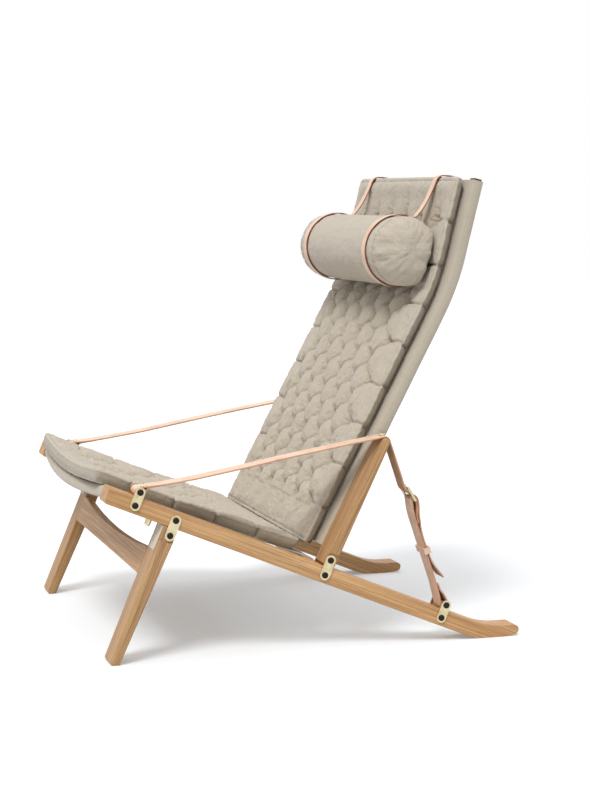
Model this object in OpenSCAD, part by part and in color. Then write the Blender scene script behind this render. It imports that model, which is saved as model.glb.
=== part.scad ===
// Folding lounge chair: two raked timber rails, legs and back posts that fold on brass link plates,
// canvas slings with quilted pads, leather arm straps and a head pillow held by a counterweight.
// Units are millimetres. +Z is up, the sitter faces -Y, and the origin is on the floor under the middle.

/* [Frame] */
// Width over the outer faces of the two side rails
frame_width = 720; // [680:5:780]
// Thickness of each side rail across its grain, seen from the side
rail_depth = 31; // [29:0.5:33]
// Width of each side rail seen from above
rail_width = 50; // [46:1:54]
// Rounding of the timber edges
edge_round = 2.2; // [1:0.1:3]

/* [Fittings] */
// Thickness of the brass link plates
plate_thickness = 3; // [2:0.5:4]
// Diameter of the pivot bolts
bolt_diameter = 7; // [6:0.5:8]
// Radial running clearance of the pivot bores
bore_clearance = 0.05; // [0.02:0.01:0.1]
// Outside diameter of the strap rollers
roller_diameter = 11.6; // [10:0.2:12]

/* [Upholstery] */
// Thickness of the canvas slings
canvas_thickness = 1.2; // [0.8:0.1:1.4]
// Half width of the two quilted pads
pad_half_width = 288; // [270:1:295]
// Thickness of the pads at their borders
pad_border = 27; // [22:1:30]
// Depth of the sewn tufts
tuft_depth = 9; // [4:0.5:12]
// Length of the head pillow
pillow_length = 540; // [480:5:560]

/* [Straps] */
// Width of the leather arm straps
strap_width = 40; // [34:1:44]
// Thickness of the leather arm straps
strap_thickness = 3; // [2.4:0.1:3.2]
// Width of the pillow straps
pillow_strap_width = 21; // [16:1:26]

/* [Hidden] */

oak = [0.74, 0.56, 0.39];
canvas = [0.78, 0.73, 0.65];
leather = [0.90, 0.79, 0.66];
brass = [0.84, 0.80, 0.64];
dark = [0.14, 0.11, 0.09];

rail_tilt = 22.5;
rail_front_y = -394.5;
rail_front_z = 332;
rail_out = frame_width / 2;
rail_in = rail_out - rail_width;
cheek_out = rail_out + 3;
cheek_in = rail_in - 3;
plate_in = rail_in - plate_thickness;
plate_out = rail_out + plate_thickness;
strap_mid = (rail_in + rail_out) / 2;
bore = bolt_diameter + 2 * bore_clearance;

bolt_h = -rail_depth / 2;
front_link_s = 138;
rear_link_s = 450.3;
link_pitch = 30;
front_bracket_s = 55.6;
rear_bracket_s = 707;
bracket_pitch = 26;
leg_gap = 14.5;
leg_length = 257;
post_lean = 27.3;
post_length = 255;

back_lean = 27.7;
back_top_lean = 14;
back_straight = 516;
back_radius = 480;
back_length = 783;
pole_in = rail_in - 32.5;
pole_out = rail_in - 4.5;
pole_depth = 18;
pillow_t = 639;
pillow_radius = 69;
pillow_lean = 15.5;
tuft_pitch_x = 86;
tuft_pitch_t = 87.3;

// Plane geometry helpers

function unit(v) = v / norm(v);
function left_of(v) = [-v[1], v[0]];
function tilted(o, lean, a, b) =
    [o[0] + a * cos(lean) + b * sin(lean), o[1] - a * sin(lean) + b * cos(lean)];
function rail_point(s, h) = tilted([rail_front_y, rail_front_z], rail_tilt, s, h);
function arc(c, r, a0, a1, n) = [for (i = [0:n]) let (a = a0 + (a1 - a0) * i / n) c + r * [cos(a), sin(a)]];
function clamp(v, lo, hi) = min(max(v, lo), hi);
function place(path, o, lean) = [for (p = path) tilted(o, lean, p[0], p[1])];
function on_rail(path) = [for (p = path) rail_point(p[0], p[1])];
function moved(path, o) = [for (p = path) p + o];

// Offsets of a closed outline (inward) and of an open path (to its left)

function mitre(n1, n2) = (n1 + n2) / (1 + n1 * n2);
function inset(path, d) = let (n = len(path)) [
    for (i = [0:n - 1])
        path[i] + d * mitre(
            left_of(unit(path[i] - path[(i + n - 1) % n])),
            left_of(unit(path[(i + 1) % n] - path[i]))
        )
];
function side_normal(path, i) = left_of(unit(path[i + 1] - path[i]));
function beside(path, d) = let (n = len(path)) [
    for (i = [0:n - 1])
        path[i] + d * mitre(side_normal(path, max(i - 1, 0)), side_normal(path, min(i, n - 2)))
];
function reversed(path) = [for (i = [len(path) - 1:-1:0]) path[i]];
function band(path, t) = concat(beside(path, -t / 2), reversed(beside(path, t / 2)));

// Solids lofted through rings of equal length

function skin_faces(m, n) = [
    for (i = [0:m - 2], j = [0:n - 1])
        let (a = i * n + j, b = i * n + (j + 1) % n, c = (i + 1) * n + (j + 1) % n, d = (i + 1) * n + j)
            each [[a, c, b], [a, d, c]]
];
function flat_caps(m, n) = [[for (j = [0:n - 1]) j], [for (j = [n - 1:-1:0]) (m - 1) * n + j]];
function band_caps(m, n) = [
    for (j = [0:n / 2 - 2])
        let (a = j, b = j + 1, c = n - 2 - j, d = n - 1 - j, k = (m - 1) * n)
            each [[a, b, c], [a, c, d], [k + a, k + c, k + b], [k + a, k + d, k + c]]
];

module loft(rings) {
    m = len(rings);
    n = len(rings[0]);
    polyhedron(points = [for (r = rings) each r], faces = concat(skin_faces(m, n), flat_caps(m, n)));
}

module band_loft(rings) {
    m = len(rings);
    n = len(rings[0]);
    polyhedron(points = [for (r = rings) each r], faces = concat(skin_faces(m, n), band_caps(m, n)));
}

// A side outline in Y and Z, carried across from x0 to x1 with rounded long edges

module slab(path, x0, x1, r = edge_round) {
    steps = [0, 45, 90];
    loft([
        for (a = steps) [for (p = inset(path, r * (1 - sin(a)))) [x0 + r * (1 - cos(a)), p[0], p[1]]],
        for (a = reversed(steps))
            [for (p = inset(path, r * (1 - sin(a)))) [x1 - r * (1 - cos(a)), p[0], p[1]]]
    ]);
}

module prism(path, x0, x1) {
    translate([x0, 0, 0])
        rotate([90, 0, 90])
            linear_extrude(height = x1 - x0)
                polygon(path);
}

module cross_pin(p, d, x0, x1) {
    translate([x0, p[0], p[1]])
        rotate([0, 90, 0])
            cylinder(d = d, h = x1 - x0, $fn = 48);
}

module both_sides() {
    children();
    mirror([1, 0, 0])
        children();
}

// Fittings

leg_pivot = rail_point(front_link_s, bolt_h - link_pitch);
post_pivot = rail_point(rear_link_s, bolt_h + link_pitch);
front_roller = rail_point(front_bracket_s, bolt_h + bracket_pitch);
rear_roller = rail_point(rear_bracket_s, bolt_h + bracket_pitch);

module bolt(p) {
    r = bolt_diameter / 2;
    translate([0, p[0], p[1]])
        rotate([0, 90, 0])
            rotate_extrude($fn = 48)
                polygon([
                    [0, plate_in - 2.4], [4.4, plate_in - 2.4], [5.2, plate_in - 1.7], [5.2, plate_in],
                    [r, plate_in], [r, plate_out], [6.1, plate_out], [6.1, plate_out + 1.4],
                    [5.5, plate_out + 2.5], [4.2, plate_out + 3.4], [2.2, plate_out + 3.9],
                    [0, plate_out + 4]
                ]);
}

// A round-ended plate on both faces of the rail, from bolt hole to bolt hole

module plate_pair(s, h0, h1, r) {
    outline = on_rail(concat(arc([s, h0], r, 180, 360, 14), arc([s, h1], r, 0, 180, 14)));
    difference() {
        union() {
            prism(outline, plate_in, rail_in);
            prism(outline, rail_out, plate_out);
        }
        cross_pin(rail_point(s, h0), bore, plate_in - 1, plate_out + 1);
        cross_pin(rail_point(s, h1), bore, plate_in - 1, plate_out + 1);
    }
}

module roller(p) {
    translate([rail_in + 0.4, p[0], p[1]])
        rotate([0, 90, 0])
            difference() {
                cylinder(d = roller_diameter, h = rail_width - 0.8, $fn = 48);
                translate([0, 0, -1])
                    cylinder(d = bolt_diameter + 0.3, h = rail_width + 2, $fn = 48);
            }
}

module rail_stud(p) {
    translate([strap_mid + 5, p[0], p[1]])
        rotate([-rail_tilt, 0, 0])
            rotate_extrude($fn = 40)
                polygon([
                    [0, 12], [3, 12], [3, -0.1], [6, -0.1], [6, -9],
                    [5.4, -11.4], [3.6, -12.8], [0, -13.2]
                ]);
}

// Side rails: straight beam, then a skid whose toe curls up off the floor

toe_y = 378.5;
toe_radius = 9.6;
curl_radius = 150;
heel_radius = 110;
top_radius = 150;
toe_z = curl_radius - (curl_radius - toe_radius) * cos(12);
toe_top = toe_z + toe_radius;
toe_c = [toe_y + (curl_radius - toe_radius) * sin(12), toe_z];
heel_s = (rail_front_z - rail_depth * cos(rail_tilt) - heel_radius * (1 - cos(rail_tilt))) / sin(rail_tilt);
top_s = (rail_front_z - toe_top - top_radius * (1 - cos(rail_tilt))) / sin(rail_tilt);
rail_outline = concat(
    on_rail(arc([5, 5 - rail_depth], 5, 180, 270, 3)),
    arc(rail_point(heel_s, heel_radius - rail_depth), heel_radius, 270 - rail_tilt, 270, 6),
    arc([toe_y, curl_radius], curl_radius, 270, 282, 4),
    [for (i = [1:8]) toe_c + toe_radius * [cos(282 + 21 * i), sin(282 + 21 * i)]],
    arc(rail_point(top_s, top_radius), top_radius, 270, 270 - rail_tilt, 6),
    [rail_point(0, 0)]
);

module left_rail() {
    color(oak)
        difference() {
            prism(rail_outline, rail_in, rail_out);
            translate([0, rail_front_y, rail_front_z])
                rotate([-rail_tilt, 0, 0])
                    for (x = [rail_in, rail_out], h = [0, -rail_depth])
                        translate([x, 0, h])
                            rotate([0, 45, 0])
                                cube([edge_round, 2 * heel_s - 16, edge_round], center = true);
            for (s = [front_bracket_s, front_link_s, rear_link_s, rear_bracket_s])
                cross_pin(rail_point(s, bolt_h), bore, rail_in - 1, rail_out + 1);
            cross_pin(rail_point(10, -13.5), 7.1, rail_in - 1, rail_in + 15);
            cross_pin(rail_point(426, -6), 5.1, rail_in - 1, rail_in + 15);
            translate([strap_mid + 5, stud_seat[0], stud_seat[1]])
                rotate([-rail_tilt, 0, 0])
                    translate([0, 0, -4])
                        cylinder(d = 6.1, h = 16.5, $fn = 40);
        }
}

stud_seat = rail_point(95, -rail_depth);

module right_rail() {
    mirror([1, 0, 0])
        left_rail();
}

module left_front_link_plates() {
    color(brass)
        plate_pair(front_link_s, bolt_h - link_pitch, bolt_h, 10);
}

module right_front_link_plates() {
    mirror([1, 0, 0])
        left_front_link_plates();
}

module left_rear_link_plates() {
    color(brass)
        plate_pair(rear_link_s, bolt_h, bolt_h + link_pitch, 10);
}

module right_rear_link_plates() {
    mirror([1, 0, 0])
        left_rear_link_plates();
}

module left_front_strap_bracket() {
    color(brass)
        plate_pair(front_bracket_s, bolt_h, bolt_h + bracket_pitch, 9.5);
}

module right_front_strap_bracket() {
    mirror([1, 0, 0])
        left_front_strap_bracket();
}

module left_rear_strap_bracket() {
    color(brass)
        plate_pair(rear_bracket_s, bolt_h, bolt_h + bracket_pitch, 9.5);
}

module right_rear_strap_bracket() {
    mirror([1, 0, 0])
        left_rear_strap_bracket();
}

module strap_rollers() {
    color(brass)
        both_sides() {
            roller(front_roller);
            roller(rear_roller);
        }
}

module link_rail_bolts() {
    color(dark)
        both_sides() {
            bolt(rail_point(front_link_s, bolt_h));
            bolt(rail_point(rear_link_s, bolt_h));
        }
}

module leg_pivot_bolts() {
    color(dark)
        both_sides()
            bolt(leg_pivot);
}

module post_pivot_bolts() {
    color(dark)
        both_sides()
            bolt(post_pivot);
}

module bracket_rail_bolts() {
    color(dark)
        both_sides() {
            bolt(rail_point(front_bracket_s, bolt_h));
            bolt(rail_point(rear_bracket_s, bolt_h));
        }
}

module roller_bolts() {
    color(dark)
        both_sides() {
            bolt(front_roller);
            bolt(rear_roller);
        }
}

module rail_studs() {
    color(brass)
        both_sides()
            rail_stud(stud_seat);
}

// Seat: battens between the rails, a sagging canvas sling round them and a quilted pad on top

function seat_fall(x) = 1 - pow(clamp(x / rail_in, -1, 1), 2);
function hem_centre(f) = [10 - 12 * f, -13.5 - 19 * f];
function sling_h(x, s) = let (f = seat_fall(x), u = clamp(s / 414, 0, 1))
    -3.1 + 5 * u - f * (19 * (1 - u) + 88 * u * (1 - u));
function sling_edge(s) = rail_in - 0.5 - 6 * clamp((s - 30) / 10, 0, 1);

module seat_front_batten() {
    section = [[-5, -6.2], [-2, -9.2], [2, -9.2], [5, -6.2], [5, 6.2], [2, 9.2], [-2, 9.2], [-5, 6.2]];
    color(oak) {
        loft([
            for (i = [-8:8])
                let (x = i * rail_in / 8)
                    [for (p = on_rail(moved(section, hem_centre(seat_fall(x))))) [x, p[0], p[1]]]
        ]);
        both_sides()
            cross_pin(rail_point(10, -13.5), 7, rail_in - 8, rail_in + 14);
    }
}

module seat_rear_batten() {
    outline = on_rail([[414.2, -9], [437.8, -9], [437.8, 1], [414.2, 1]]);
    color(oak) {
        slab(outline, -rail_in, rail_in, 2);
        both_sides()
            cross_pin(rail_point(426, -6), 5, rail_in - 8, rail_in + 14);
    }
}

front_loop = [
    [6.7, 2], [6.7, -7], [4, -10.4], [-4, -10.4], [-6.7, -7], [-6.7, 7], [-4, 10.4], [4, 10.6]
];
rear_loop = [
    [414, 1.9], [438, 1.9], [439.2, 0.4], [439.2, -8.5], [438, -9.9], [414, -9.9], [412.9, -8.5], [412.9, -1]
];

module seat_sling() {
    color(canvas)
        band_loft([
            for (i = [-7:7])
                let (
                    u = i / 7,
                    f = seat_fall(u * rail_in),
                    loop = moved(front_loop, hem_centre(f)),
                    path = concat(
                        loop,
                        [for (s = [40, 90, 150, 210, 270, 330, 380]) [s, sling_h(u * rail_in, s)]],
                        rear_loop
                    )
                )
                    [
                        for (q = band(path, canvas_thickness))
                            let (p = rail_point(q[0], q[1]))
                                [u * sling_edge(q[0]), p[0], p[1]]
                    ]
        ]);
}

// Tufts lie on two staggered lattices; each one draws the cover down to a sewn point

function near(v, pitch, shift) = let (k = (v - shift) / pitch) abs(k - round(k)) * 2;
function tuft(x, t) =
    let (
        a = norm([near(x, tuft_pitch_x, tuft_pitch_x / 2), near(t, tuft_pitch_t, 84)]),
        b = norm([near(x, tuft_pitch_x, 0), near(t, tuft_pitch_t, 84 + tuft_pitch_t / 2)])
    )
        max(0, 1 - min(a, b) * 1.15);
function edge_roll(d, r) = d >= r ? 1 : sqrt(max(0, 1 - pow(1 - d / r, 2)));

pad_columns = [for (i = [-14:14]) i / 14];
pad_x = [for (u = pad_columns) pad_half_width * (abs(u) > 0.93 ? u : u * 0.99)];
seat_pad_front = -20;
seat_pad_rear = 409;
seat_rows = [
    seat_pad_front, -17, -10, 4, 20, 40, 62, 84, 106, 128, 150, 172, 193, 215,
    237, 259, 281, 303, 325, 346, 368, 388, 400, 406, seat_pad_rear
];

module seat_pad() {
    color(canvas)
        loft([
            for (s = seat_rows)
                let (
                    along = edge_roll(min(s - seat_pad_front, seat_pad_rear - s) + 2, 16),
                    inner = clamp((s - 30) / 40, 0, 1) * clamp((seat_pad_rear - 12 - s) / 30, 0, 1)
                )
                    concat(
                        [
                            for (x = pad_x)
                                let (
                                    across = edge_roll(pad_half_width - abs(x) + 2, 14),
                                    low = sling_h(x, s) + 2,
                                    tucked = inner * tuft_depth * tuft(x, s),
                                    full = pad_border + 8 * seat_fall(x) * along - tucked,
                                    p = rail_point(s, low + full * (0.5 + 0.5 * along * across))
                                )
                                    [x, p[0], p[1]]
                        ],
                        [
                            for (u = [1, 0.66, 0.33, 0, -0.33, -0.66, -1])
                                let (
                                    x = u * pad_half_width,
                                    lift = 0.3 * (1 - along) * pad_border + (abs(u) == 1 ? 5 : 0),
                                    p = rail_point(s, sling_h(x, s) + 2 + lift)
                                )
                                    [x, p[0], p[1]]
                        ]
                    )
        ]);
}

// Arm strap: looped round the front roller, over the post, down to the buckle and its tail

strap_top = tilted(post_pivot, post_lean, -2.5, post_length - 8);
strap_bend = 8.3 + strap_thickness / 2;
strap_fall = 19;
strap_start = strap_top + strap_bend * [cos(strap_fall), sin(strap_fall)];
buckle_drop = 114;
buckle_o = strap_start + buckle_drop * [sin(strap_fall), -cos(strap_fall)];
loop_r = roller_diameter / 2 + 0.5 + strap_thickness / 2;
front_take = front_roller + loop_r * [cos(100), sin(100)];
top_take = strap_top + strap_bend * [cos(99), sin(99)];

function on_drop(path) = [for (p = path) tilted(buckle_o, -strap_fall, p[0], p[1])];
function drop_sag(u) = 52 * u * pow(1 - u, 3);
function arm_point(u) = front_take + u * (top_take - front_take) - [0, drop_sag(u)];

arm_run = [for (i = [1:13]) arm_point(i / 14)];
arm_lap = [for (i = [4, 3, 2]) arm_point(i / 26) - [0, strap_thickness + 0.4]];
arm_path = concat(
    arm_lap,
    [for (a = [-72:-19.2:-245]) front_roller + loop_r * [cos(a), sin(a)]],
    arm_run,
    [for (a = [99, 72, 45, strap_fall]) strap_top + strap_bend * [cos(a), sin(a)]],
    on_drop([
        [0, 60], [0, 28], [-0.4, 14], [2.8, 6.5], [8.9, -0.5], [14.6, -5.8], [17.4, -12], [17.4, -19],
        [15, -30], [10.4, -43], [8.2, -56], [5.6, -68], [3.9, -84], [3.8, -100], [4.4, -130], [7, -150],
        [18, -179]
    ])
);
lower_roller = tilted([0, 0], strap_fall, rear_roller[0] - buckle_o[0], rear_roller[1] - buckle_o[1]);
heel = [9.5, -13];
heel_r = 2.9 + strap_thickness / 2;
lower_path = concat(
    [[3.5, -60], [5.5, -45], [11, -29]],
    [for (a = [-10:24.4:186]) heel + heel_r * [cos(a), sin(a)]],
    [[1.5, -32], [0.2, -48], [0, -80], [0, -185], [-2, -212]],
    [for (a = [185:19:375]) lower_roller + loop_r * [cos(a), sin(a)]],
    [[7.6, -212], [3.6, -200], [3.4, -188]]
);

module left_arm_strap() {
    slot = on_drop([[-6, -6], [22, -6], [22, 6], [-6, 6]]);
    color(leather)
        difference() {
            prism(band(arm_path, strap_thickness), strap_mid - strap_width / 2, strap_mid + strap_width / 2);
            prism(slot, strap_mid - 2.2, strap_mid + 2.2);
            translate([strap_mid, strap_top[0], strap_top[1]])
                cylinder(d = 6.4, h = 30, $fn = 32);
        }
}

module right_arm_strap() {
    mirror([1, 0, 0])
        left_arm_strap();
}

module left_lower_strap() {
    slot = on_drop([[-2, -24], [22, -24], [22, 0], [-2, 0]]);
    color(leather)
        difference() {
            prism(
                band(on_drop(lower_path), strap_thickness),
                strap_mid - strap_width / 2,
                strap_mid + strap_width / 2
            );
            prism(slot, strap_mid - 4.4, strap_mid + 4.4);
        }
}

module right_lower_strap() {
    mirror([1, 0, 0])
        left_lower_strap();
}

// Buckle: a brass frame bent so that its heel stands off, and a tongue on the heel bar

buckle_half = strap_width / 2 + 4.5;
frame_top = [4.6, 13];

module left_buckle() {
    top = tilted(buckle_o, -strap_fall, frame_top[0], frame_top[1]);
    low = tilted(buckle_o, -strap_fall, heel[0], heel[1]);
    color(brass)
        union() {
            cross_pin(top, 5, strap_mid - buckle_half, strap_mid + buckle_half);
            cross_pin(low, 5, strap_mid - buckle_half, strap_mid + buckle_half);
            for (side = [-1, 1])
                translate([strap_mid + side * buckle_half, 0, 0])
                    hull() {
                        translate([0, top[0], top[1]])
                            sphere(d = 5.6, $fn = 16);
                        translate([0, low[0], low[1]])
                            sphere(d = 5.6, $fn = 16);
                    }
        }
}

module right_buckle() {
    mirror([1, 0, 0])
        left_buckle();
}

module left_buckle_tongue() {
    low = tilted(buckle_o, -strap_fall, heel[0], heel[1]);
    blade = on_drop([
        [8.2, -9.4], [10.6, -9.6], [9.6, 4], [8.9, 15.6], [8.3, 17.2],
        [7.2, 16.4], [7.3, 14], [7.3, 10], [7.6, 2]
    ]);
    color(brass)
        difference() {
            union() {
                cross_pin(low, 8, strap_mid - 3, strap_mid + 3);
                prism(blade, strap_mid - 1.5, strap_mid + 1.5);
            }
            cross_pin(low, 5.1, strap_mid - 4, strap_mid + 4);
        }
}

module right_buckle_tongue() {
    mirror([1, 0, 0])
        left_buckle_tongue();
}

module left_strap_keeper() {
    w = strap_width / 2 + 0.6;
    color(leather)
        difference() {
            prism(
                on_drop([[-4.2, -123], [9, -123], [9, -110], [-4.2, -110]]),
                strap_mid - w - 2,
                strap_mid + w + 2
            );
            prism(
                on_drop([[-2.2, -124], [7, -124], [7, -109], [-2.2, -109]]),
                strap_mid - w,
                strap_mid + w
            );
        }
}

module right_strap_keeper() {
    mirror([1, 0, 0])
        left_strap_keeper();
}

// Front legs: cheeks shouldered round the link plates, top corner square at the front as the stop

function leg_end(a) = -(leg_pivot[1] - a * sin(rail_tilt)) / cos(rail_tilt);
leg_outline = place(
    concat(
        [[-17.5, leg_end(-17.5) + 7], [-12.5, leg_end(-12.5)], [1, leg_end(1)]],
        arc([0, 0], 14.3, 38, 90, 5),
        [[-17.5, 14.3]]
    ),
    leg_pivot,
    rail_tilt
);
leg_recess = place(
    concat([[-30, -14]], arc([0, 0], 14, 270, 360, 10), [[16, 0], [16, 30], [-30, 30]]),
    leg_pivot,
    rail_tilt
);

module left_leg() {
    play = 0.2;
    color(oak)
        difference() {
            slab(leg_outline, cheek_in, cheek_out);
            prism(leg_recess, cheek_in - 2, rail_in + play);
            prism(leg_recess, rail_out - play, cheek_out + 2);
            cross_pin(leg_pivot, bore, cheek_in - 1, cheek_out + 1);
            cross_pin(tilted(leg_pivot, rail_tilt, -7.5, -72), 10.1, cheek_in - 1, cheek_in + 25);
        }
}

module right_leg() {
    mirror([1, 0, 0])
        left_leg();
}

module leg_cross_rail() {
    dip = 14.6;
    top = [for (i = [-12:12]) let (u = i / 12) [u * cheek_in, -35.2 - dip * (1 - u * u)]];
    section = function (b) [
        [-17.5, -88.5], [-15.5, -90.5], [0.5, -90.5], [2.5, -88.5],
        [2.5, b - 2], [0.5, b], [-15.5, b], [-17.5, b - 2]
    ];
    color(oak)
        difference() {
            loft([for (q = top) [for (p = place(section(q[1]), leg_pivot, rail_tilt)) [q[0], p[0], p[1]]]]);
            both_sides()
                cross_pin(tilted(leg_pivot, rail_tilt, -7.5, -72), 10.1, cheek_in - 25, cheek_in + 1);
        }
}

module cross_rail_dowels() {
    color(oak)
        both_sides()
            cross_pin(tilted(leg_pivot, rail_tilt, -7.5, -72), 10, cheek_in - 24, cheek_in + 24);
}

module leg_face_pads() {
    outline = place([[-19.3, -35], [-17.5, -35], [-17.5, 13], [-19.3, 13]], leg_pivot, rail_tilt);
    color(canvas)
        both_sides()
            slab(outline, strap_mid - 13, strap_mid + 24, 0.6);
}

// Back posts: foot rests on the rail behind its pivot, front corner rounded so that the back can fold

swing = post_lean - rail_tilt;
post_outline = place(
    concat(
        [[-10.5, post_length - 8]],
        arc([0, 0], 14.2, 222.3, 270 + swing, 6),
        [[13.5, -14.2 / cos(swing) + (13.5 * tan(swing))], [5.5, post_length - 8]],
        arc([-2.5, post_length - 8], 8, 20, 160, 7)
    ),
    post_pivot,
    post_lean
);
post_recess = place(
    concat([[40, -40], [40, 14], [0, 14]], arc([0, 0], 14, 100, 180, 9), [[-14, -40]]),
    post_pivot,
    post_lean
);
screw_at = [60, 190];

module left_post() {
    play = 0.2;
    color(oak)
        difference() {
            slab(post_outline, cheek_in, cheek_out);
            prism(post_recess, cheek_in - 2, rail_in + play);
            prism(post_recess, rail_out - play, cheek_out + 2);
            cross_pin(post_pivot, bore, cheek_in - 1, cheek_out + 1);
            for (t = screw_at)
                cross_pin(back_point(t, 9), 5, cheek_in - 1, cheek_in + 31);
            translate([strap_mid, strap_top[0], strap_top[1] - 14])
                cylinder(d = 5, h = 30, $fn = 32);
        }
}

module right_post() {
    mirror([1, 0, 0])
        left_post();
}

// Back: poles that follow the reclined curve, canvas sling between them, quilted pad in front

back_foot = [17.7, 178];
back_bend = back_foot + back_straight * [sin(back_lean), cos(back_lean)];
back_turn = back_radius * (back_lean - back_top_lean) * PI / 180;
function back_angle(t) =
    clamp(back_lean - (t - back_straight) / back_radius * 180 / PI, back_top_lean, back_lean);
function back_line(t) =
    let (a = back_angle(t))
        t < back_straight
            ? back_foot + t * [sin(back_lean), cos(back_lean)]
            : back_bend
                + back_radius * [cos(a) - cos(back_lean), sin(back_lean) - sin(a)]
                + max(0, t - back_straight - back_turn) * [sin(back_top_lean), cos(back_top_lean)];
function back_point(t, m) = let (a = back_angle(t)) back_line(t) + m * [cos(a), -sin(a)];
back_rows = [100, 200, 300, 400, 500, 520, 543, 566, 589, 612, 631, 700];

module left_pole() {
    i = pole_in;
    o = pole_out;
    d = pole_depth;
    section = [[i + 3, 0], [o - 3, 0], [o, 3], [o, d - 3], [o - 3, d], [i + 3, d], [i, d - 3], [i, 3]];
    color(oak)
        difference() {
            loft([
                for (t = concat([16], back_rows, [back_length]))
                    [for (q = section) let (p = back_point(t, q[1])) [q[0], p[0], p[1]]]
            ]);
            for (t = screw_at) {
                cross_pin(back_point(t, 9), 5, pole_in + 2, pole_out + 1);
                cross_pin(back_point(t, 9), 10.2, pole_in - 1, pole_in + 3);
            }
        }
}

module right_pole() {
    mirror([1, 0, 0])
        left_pole();
}

module pole_caps() {
    i = pole_in + 2;
    o = pole_out - 2;
    color(dark)
        both_sides()
            loft([
                for (t = [back_length + 0.05, back_length + 3])
                    [for (q = [[i, 2], [o, 2], [o, pole_depth - 2], [i, pole_depth - 2]])
                        let (p = back_point(t, q[1])) [q[0], p[0], p[1]]]
            ]);
}

function top_section(k) = [
    for (
        q = [
            [764 - k, 4], [767, 1 - k], [778, 1 - k], [781 + k, 4],
            [781 + k, 14], [778, 17 + k], [767, 17 + k], [764 - k, 14]
        ]
    )
        back_point(q[0], q[1])
];

module back_top_bar() {
    color(oak)
        prism(reversed(top_section(0)), -rail_in + 34.8, rail_in - 34.8);
}

module back_top_hem() {
    color(canvas)
        difference() {
            prism(reversed(top_section(1.7)), -rail_in + 34.8, rail_in - 34.8);
            prism(reversed(top_section(0.3)), -rail_in, rail_in);
        }
}

function back_sag(t) = 15 * (1 - pow(clamp((t - 391) / 373, -1, 1), 2));
function half_sling(t) = [
    for (x = [0, 70, 140, 200, 245, 271]) [x, -1.6 + back_sag(t) * (1 - pow(x / 277, 2))],
    [pole_out - 2, -1.3], [pole_out + 0.9, 1.5], [pole_out + 0.9, pole_depth - 1],
    [pole_out - 1, pole_depth + 1.1], [pole_in + 1, pole_depth + 1.1],
    [pole_in - 1.1, pole_depth - 1], [pole_in - 1.1, 4]
];

module back_sling() {
    color(canvas)
        difference() {
            band_loft([
                for (t = concat([18], back_rows, [762, back_length - 1]))
                    let (
                        half = half_sling(t),
                        path = concat(
                            [for (i = [len(half) - 1:-1:1]) [-half[i][0], half[i][1]]],
                            half
                        )
                    )
                        [
                            for (q = band(path, canvas_thickness))
                                let (p = back_point(t, q[1]))
                                    [q[0], p[0], p[1]]
                        ]
            ]);
            both_sides()
                for (t = screw_at)
                    cross_pin(back_point(t, 9), 5.6, pole_out - 1, pole_out + 4);
        }
}

module pole_screws() {
    color(dark)
        both_sides()
            for (t = screw_at)
                let (p = back_point(t, 9))
                    translate([0, p[0], p[1]])
                        rotate([0, 90, 0])
                            rotate_extrude($fn = 32)
                                polygon([
                                    [0, pole_in + 0.3], [4.8, pole_in + 0.3], [4.8, pole_in + 3],
                                    [2.4, pole_in + 3], [2.4, cheek_in + 27], [0, cheek_in + 29.5]
                                ]);
}

module strap_studs() {
    p = strap_top;
    color(brass)
        both_sides()
            translate([strap_mid, p[0], p[1]])
                rotate_extrude($fn = 36)
                    polygon([
                        [0, -12], [2.4, -12], [2.4, strap_bend + 2], [6.2, strap_bend + 2],
                        [6.2, strap_bend + 3.2], [4.6, strap_bend + 4.8], [0, strap_bend + 5.6]
                    ]);
}

pillow_clear = 32;
function pillow_limit(x, t) =
    pillow_clear - 0.09 * clamp(pillow_t - t, 0, 84)
        + 0.4 * (max(0, pillow_t - t - 84) + max(0, t - pillow_t - 94))
        + 0.4 * max(0, abs(x) - pillow_length / 2 - 5);
back_pad_rows = concat([5.5, 11, 26, 54], [for (k = [0:28]) 84 + k * tuft_pitch_t / 4], [724, 752, 774, 784]);

module back_pad() {
    first = back_pad_rows[0];
    last = back_pad_rows[len(back_pad_rows) - 1];
    color(canvas)
        loft([
            for (t = back_pad_rows)
                let (
                    along = edge_roll(min(t - first, last - t) + 2, 16),
                    inner = clamp((t - 30) / 30, 0, 1) * clamp((last - 40 - t) / 30, 0, 1),
                    rear = function (x) back_sag(t) * max(0, 1 - pow(x / 277, 2)) - 2.8
                )
                    concat(
                        [
                            for (x = pad_x)
                                let (
                                    across = edge_roll(pad_half_width - abs(x) + 2, 14),
                                    crown = 11 * max(0, 1 - pow(x / 288, 2)) * along,
                                    full = pad_border + crown - inner * tuft_depth * tuft(x, t),
                                    depth = min(full * (0.5 + 0.5 * along * across), pillow_limit(x, t)),
                                    p = back_point(t, -depth)
                                )
                                    [x, p[0], p[1]]
                        ],
                        [
                            for (u = [1, 0.5, -0.5, -1])
                                let (
                                    x = u * pad_half_width,
                                    lift = 0.25 * (1 - along) * pad_border + (abs(u) == 1 ? 4 : 0),
                                    p = back_point(t, rear(x) - lift)
                                )
                                    [x, p[0], p[1]]
                        ]
                    )
        ]);
}

// Head pillow: a canvas roll flattened where it lies on the pad, carried by two bands

pillow_o = [220.9, 750.5];
pillow_flat = 40.5;

function pillow_ring(r, flat, n) = [
    for (i = [0:n - 1])
        let (
            a = i * 360 / n,
            back_dir = [cos(pillow_lean), -sin(pillow_lean)],
            q = r * [cos(a), sin(a)],
            over = max(0, q * back_dir - flat)
        )
            pillow_o + q - over * back_dir
];

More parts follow.
